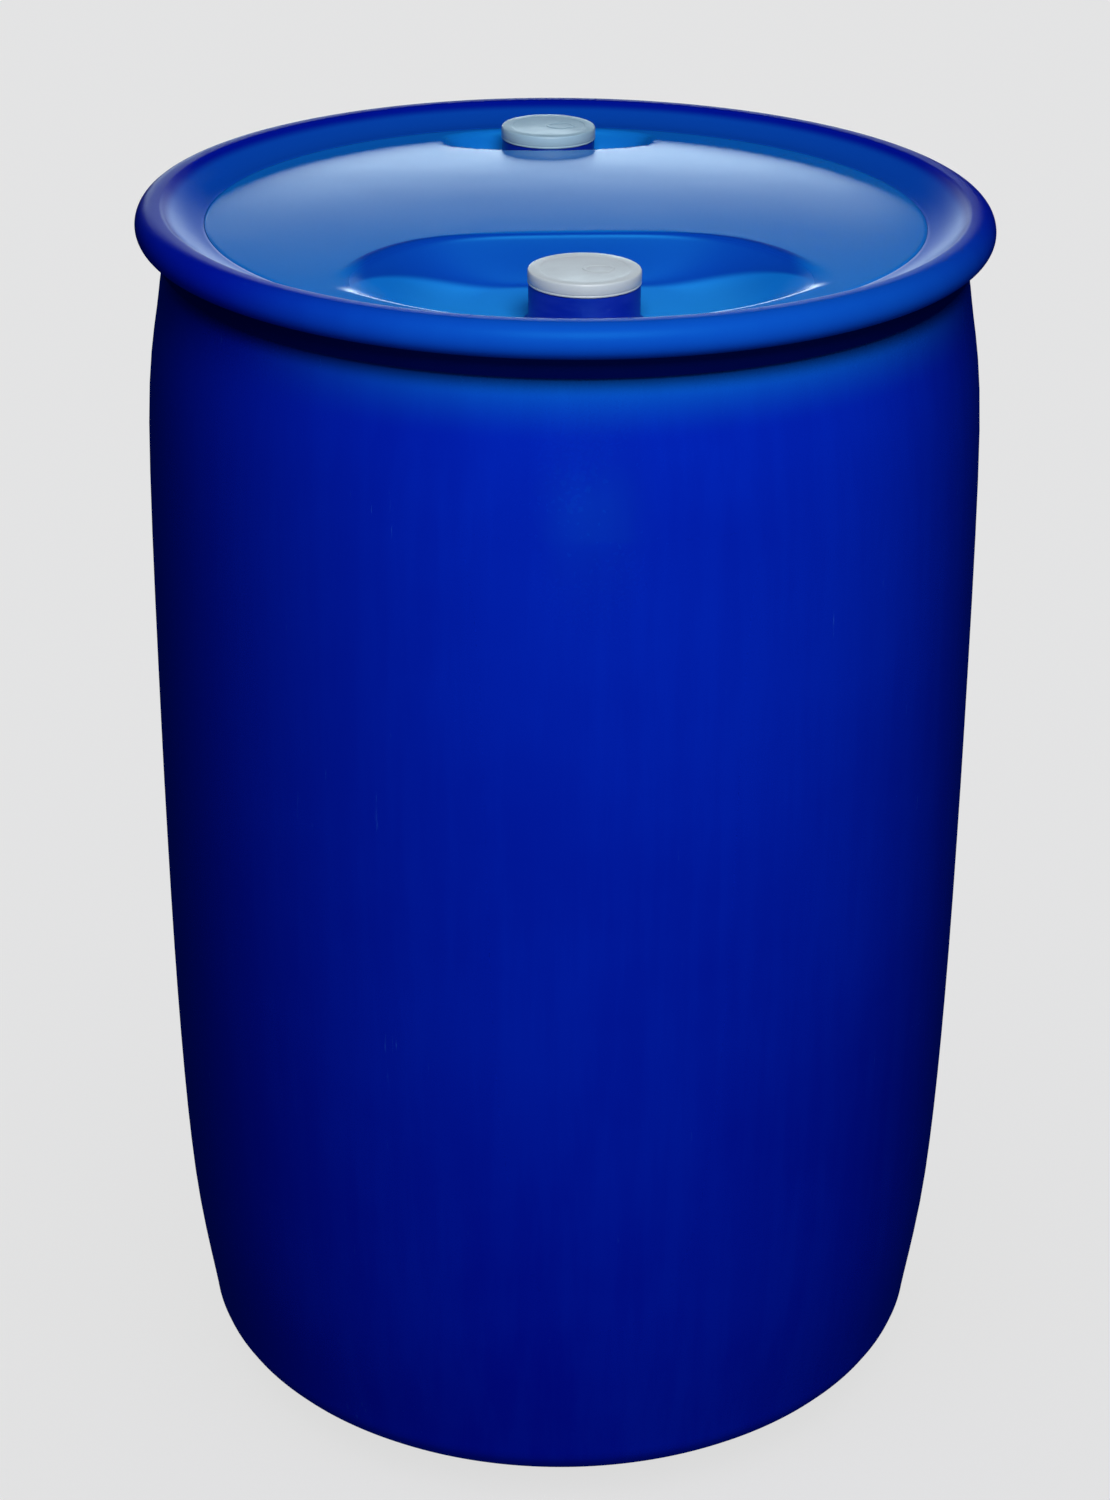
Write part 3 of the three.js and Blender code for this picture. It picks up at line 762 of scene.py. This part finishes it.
def addLugs(bung, look, inner, outer):
    lugs = []
    for turn in range(4):
        bpy.ops.object.select_all(action="DESELECT")
        bpy.ops.mesh.primitive_cube_add(size=1)
        lug = bpy.context.object
        lug.name = f"lug{turn}"
        height = look["wrenchFloor"] - look["lugTop"] + mm
        bpy.ops.object.mode_set(mode="EDIT")
        bpy.ops.mesh.select_all(action="SELECT")
        bpy.ops.transform.resize(value=(outer - inner + mm, look["lugWidth"], height))
        middle = crest - (look["lugTop"] + look["wrenchFloor"] + mm) / 2
        bpy.ops.transform.translate(value=((inner + outer) / 2, 0, middle))
        bpy.ops.object.mode_set(mode="OBJECT")
        useModifier(lug, "BEVEL", width=look["lugBevel"], segments=3)
        spun = Matrix.Rotation(turn * math.pi / 2, 4, "Z")
        lug.matrix_world = Matrix.Translation(bung["axis"]) @ spun
        bpy.ops.object.transform_apply(location=True, rotation=True, scale=False)
        lugs.append(lug)
    return lugs


def makeThreadedPlug(bung, look, outline, closed, node, body, lugSpan):
    name = bung["prefix"] + "Plug"
    plug = spinPiece(name, below(outline), look["spin"], closed=closed, axis=bung["axis"])
    bevelEdges(plug, look["plugBevel"])
    start = crest - look["neckTop"] - look["threadLead"] - bung["maleTurns"] * bung["pitch"]
    ridge = threadRidge(bung["prefix"] + "PlugRidge", threadOf(bung, True), bung["axis"], start, False)
    joinPieces(plug, [ridge] + addLugs(bung, look, *lugSpan))
    finishPiece(plug, node, body, plugBlue)


innerLook = {
    "hole": 13.3 * mm, "seat": 17.3 * mm, "boss": 19.8 * mm, "bossTop": 3.6 * mm, "shoulder": 9.6 * mm,
    "flange": 16.7 * mm, "flangeTop": 3.9 * mm, "flangeBottom": 7 * mm, "gasketTop": 7.3 * mm,
    "gasketBottom": 9.3 * mm, "shankEnd": 25 * mm, "shank": 12 * mm, "maleCrest": 12.9 * mm,
    "pitch": 1.814 * mm, "ridgeBase": 0.62 * mm, "ridgeTip": 0.12 * mm, "turns": 6,
    "threadLead": 1.5 * mm, "socket": 13 * mm, "socketDepth": 9 * mm, "bevel": 0.4 * mm,
}


def makeFrontPlug(bung, look, inner):
    wall, shank, flange = bung["shankInner"], bung["shank"], bung["flange"]
    hole, boss = inner["hole"], inner["boss"]
    outline = [
        (hole, look["shankEnd"]), (hole, inner["shoulder"]), (inner["seat"], inner["shoulder"]),
        (inner["seat"], inner["bossTop"]), (boss, inner["bossTop"]), (boss, look["wrenchFloor"]),
        (wall, look["wrenchFloor"]), (wall, look["flangeTop"]), (flange, look["flangeTop"]),
        (flange, look["flangeBottom"]), (shank, look["flangeBottom"]), (shank, look["shankEnd"]),
        (wall, look["shankEnd"]), (wall, look["webBottom"]),
        (hole + look["bossWall"], look["webBottom"]), (hole + look["bossWall"], look["shankEnd"]),
    ]
    makeThreadedPlug(bung, look, outline, True, "front_plug", "front_plug", (inner["boss"], wall))


def makeRearPlug(bung, look):
    wall, shank, flange = bung["shankInner"], bung["shank"], bung["flange"]
    outline = [
        (0, look["webBottom"]), (wall, look["webBottom"]), (wall, look["shankEnd"]),
        (shank, look["shankEnd"]),
        (shank, look["flangeBottom"]), (flange, look["flangeBottom"]), (flange, look["flangeTop"]),
        (wall, look["flangeTop"]), (wall, look["wrenchFloor"]), (0, look["wrenchFloor"]),
    ]
    lugSpan = (wall - look["rearLugLength"], wall)
    makeThreadedPlug(bung, look, outline, False, "rear_plug", "rear_plug", lugSpan)


def makeInnerPlug(bung, look, inner):
    shank, flange = inner["shank"], inner["flange"]
    outline = below([
        (0, inner["shankEnd"]), (shank, inner["shankEnd"]), (shank, inner["flangeBottom"]),
        (flange, inner["flangeBottom"]), (flange, inner["flangeTop"]), (0, inner["flangeTop"]),
    ])
    plug = spinPiece("innerPlug", outline, look["spin"], axis=bung["axis"])
    bpy.ops.object.select_all(action="DESELECT")
    bpy.ops.mesh.primitive_cube_add(size=1)
    socket = bpy.context.object
    socket.scale = (inner["socket"], inner["socket"], 2 * inner["socketDepth"])
    socket.location = bung["axis"] + Vector((0, 0, crest - inner["flangeTop"]))
    bpy.ops.object.transform_apply(location=True, rotation=False, scale=True)
    useModifier(plug, "BOOLEAN", operation="DIFFERENCE", object=socket, solver="EXACT")
    bpy.data.objects.remove(socket)
    bevelEdges(plug, inner["bevel"])
    thread = {
        "wall": inner["shank"], "crest": inner["maleCrest"], "pitch": inner["pitch"],
        "ridgeBase": inner["ridgeBase"], "ridgeTip": inner["ridgeTip"], "turns": inner["turns"],
    }
    start = crest - inner["shoulder"] - inner["threadLead"] - inner["turns"] * inner["pitch"]
    ridge = threadRidge("innerRidge", thread, bung["axis"], start, False)
    joinPieces(plug, [ridge])
    finishPiece(plug, "inner_plug", "inner_plug", plugBlue)


def makeGasket(name, node, axis, innerRadius, outerRadius, top, bottom):
    outline = below([(innerRadius, bottom), (innerRadius, top), (outerRadius, top), (outerRadius, bottom)])
    ring = spinPiece(name, outline, closureLook["spin"], closed=True, axis=axis)
    bevelEdges(ring, closureLook["gasketBevel"], segments=4)
    finishPiece(ring, node, node, gasketBlack)


def makeCapSeal(bung, look):
    cap, top, bottom = bung["cap"], look["capTop"], look["capBottom"]
    shape = sealShape
    inner, sunken = cap - shape["skirt"], top + shape["sink"]
    outline = below([
        (0, sunken), (cap - shape["rimOuter"], sunken), (cap - shape["rimInner"], top),
        (cap - shape["topRound"], top), (cap - shape["topRoundMid"], sunken),
        (cap, top + shape["sideStart"]), (cap, bottom - shape["grooveTop"]),
        (cap - shape["sink"], bottom - shape["groove"]), (cap, bottom - shape["grooveBottom"]), (cap, bottom),
        (inner, bottom), (inner, top + look["capPlate"]), (0, top + look["capPlate"]),
    ])
    seal = spinPiece(bung["prefix"] + "CapSeal", outline, look["spin"], axis=bung["axis"])
    bevelEdges(seal, shape["bevel"], degrees=30)
    bpy.ops.object.select_all(action="DESELECT")
    bpy.ops.mesh.primitive_torus_add(
        major_radius=shape["pullRadius"], minor_radius=shape["pullThickness"],
        major_segments=48, minor_segments=10,
    )
    pull = bpy.context.object
    bpy.ops.object.mode_set(mode="EDIT")
    bpy.ops.mesh.select_all(action="SELECT")
    bpy.ops.transform.resize(value=shape["pullStretch"])
    bpy.ops.transform.translate(value=(shape["pullAside"], 0, crest - top - shape["pullSink"]))
    bpy.ops.object.mode_set(mode="OBJECT")
    pull.location = bung["axis"]
    bpy.ops.object.transform_apply(location=True, rotation=False, scale=False)
    joinPieces(seal, [pull])
    material = sealCream if bung is frontBung else rearSealCream
    finishPiece(seal, bung["prefix"] + "_cap_seal", bung["prefix"] + "_cap_seal", material)


for bung in (frontBung, rearBung):
    makeNeck(bung, closureLook)
    makeCapSeal(bung, closureLook)
    makeGasket(bung["prefix"] + "Gasket", bung["prefix"] + "_gasket", bung["axis"], bung["bore"],
               bung["flange"] - closureLook["gasketInset"],
               closureLook["gasketTop"], closureLook["gasketBottom"])
makeFrontPlug(frontBung, closureLook, innerLook)
makeRearPlug(rearBung, closureLook)
makeInnerPlug(frontBung, closureLook, innerLook)
makeGasket("innerGasket", "inner_gasket", frontAxis, innerLook["hole"], innerLook["flange"],
           innerLook["gasketTop"], innerLook["gasketBottom"])
print("closures made")


# floor, light and air

stageLook = {
    "floorSize": 60, "floorGlow": 0.70, "floorColour": (0.25, 0.25, 0.25, 1),
    "sunPower": 0.9, "sunAngle": 120,
    "floorRoughness": 0.9, "floorShine": (1, 1, 0.985, 1),
    "airColour": (0.768, 0.768, 0.768, 1), "airFill": (0.0, 0.004, 0.065, 1), "plainColour": (1, 1, 1),
    "keyPlace": (0.08, -1.45, 2.2), "keyAim": (0.0, 0, 0.75), "keySize": (0.9, 0.9), "keyPower": 43,
    "lowPlace": (0.1, -2.6, 0.35), "lowAim": (0, 0, 0.2), "lowSize": (0.8, 0.5), "lowPower": 20,
    "backPlace": (-0.12, 5.5, 1.48), "backAim": (0, 0, 0.9), "backSize": (3.0, 0.75), "backPower": 36,
    "backColour": (0.75, 0.93, 1.0),
    "rearPlace": (0.9, 2.6, 1.5), "rearAim": (0, 0, 0.5), "rearSize": (0.8, 0.8), "rearPower": 22,
}


def makeFloor(look):
    bpy.ops.object.select_all(action="DESELECT")
    bpy.ops.mesh.primitive_plane_add(size=look["floorSize"])
    floor = bpy.context.object
    floor.name = "floor"
    finish = Finish(
        "floorPaint", Base_Color=look["floorColour"], Roughness=look["floorRoughness"], Specular_IOR_Level=0,
        Emission_Color=look["floorShine"], Emission_Strength=look["floorGlow"],
    )
    floor.data.materials.append(finish.material)
    floor.visible_glossy = False
    floor.visible_diffuse = False
    floor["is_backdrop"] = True
    return floor


def makeAir(look):  # pale to the camera, and a faint blue to everything else
    world = bpy.data.worlds.new("studioAir")
    bpy.context.scene.world = world
    world.use_nodes = True
    tree = world.node_tree
    fill = tree.nodes["Background"]
    fill.inputs["Color"].default_value = look["airFill"]
    seen = tree.nodes.new("ShaderNodeBackground")
    seen.inputs["Color"].default_value = look["airColour"]
    rays = tree.nodes.new("ShaderNodeLightPath")
    either = tree.nodes.new("ShaderNodeMixShader")
    tree.links.new(rays.outputs["Is Camera Ray"], either.inputs["Fac"])
    tree.links.new(fill.outputs["Background"], either.inputs[1])
    tree.links.new(seen.outputs["Background"], either.inputs[2])
    tree.links.new(either.outputs["Shader"], tree.nodes["World Output"].inputs["Surface"])


def addAreaLight(name, place, aim, size, power, colour):
    bpy.ops.object.light_add(type="AREA", location=place)
    light = bpy.context.object
    light.name = name
    light.rotation_euler = (Vector(aim) - Vector(place)).to_track_quat("-Z", "Y").to_euler()
    light.data.shape = "RECTANGLE"
    light.data.size, light.data.size_y = size
    light.data.energy = power
    light.data.color = colour
    light.visible_camera = False
    return light


def lightOnly(light, pieces, name):  # the light falls on these pieces and on nothing else
    group = bpy.data.collections.new(name)
    for piece in pieces:
        group.objects.link(piece)
    light.light_linking.receiver_collection = group


floor = makeFloor(stageLook)
makeAir(stageLook)
drumPieces = list(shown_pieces())
for name in ("key", "low", "back", "rear"):
    place, aim, size, power = (stageLook[name + word] for word in ("Place", "Aim", "Size", "Power"))
    colour = stageLook["backColour"] if name == "back" else stageLook["plainColour"]
    light = addAreaLight(name + "Light", place, aim, size, power, colour)
    lightOnly(light, drumPieces, name + "Lit")
    light.visible_glossy = name in ("key", "back")
bpy.ops.object.light_add(type="SUN", location=(0, 0, 4))
sky = bpy.context.object
sky.name = "floorLight"
sky.data.energy = stageLook["sunPower"]
sky.data.angle = math.radians(stageLook["sunAngle"])
lightOnly(sky, [floor], "floorLit")
bpy.context.scene.view_settings.view_transform = "Standard"
print("stage made")
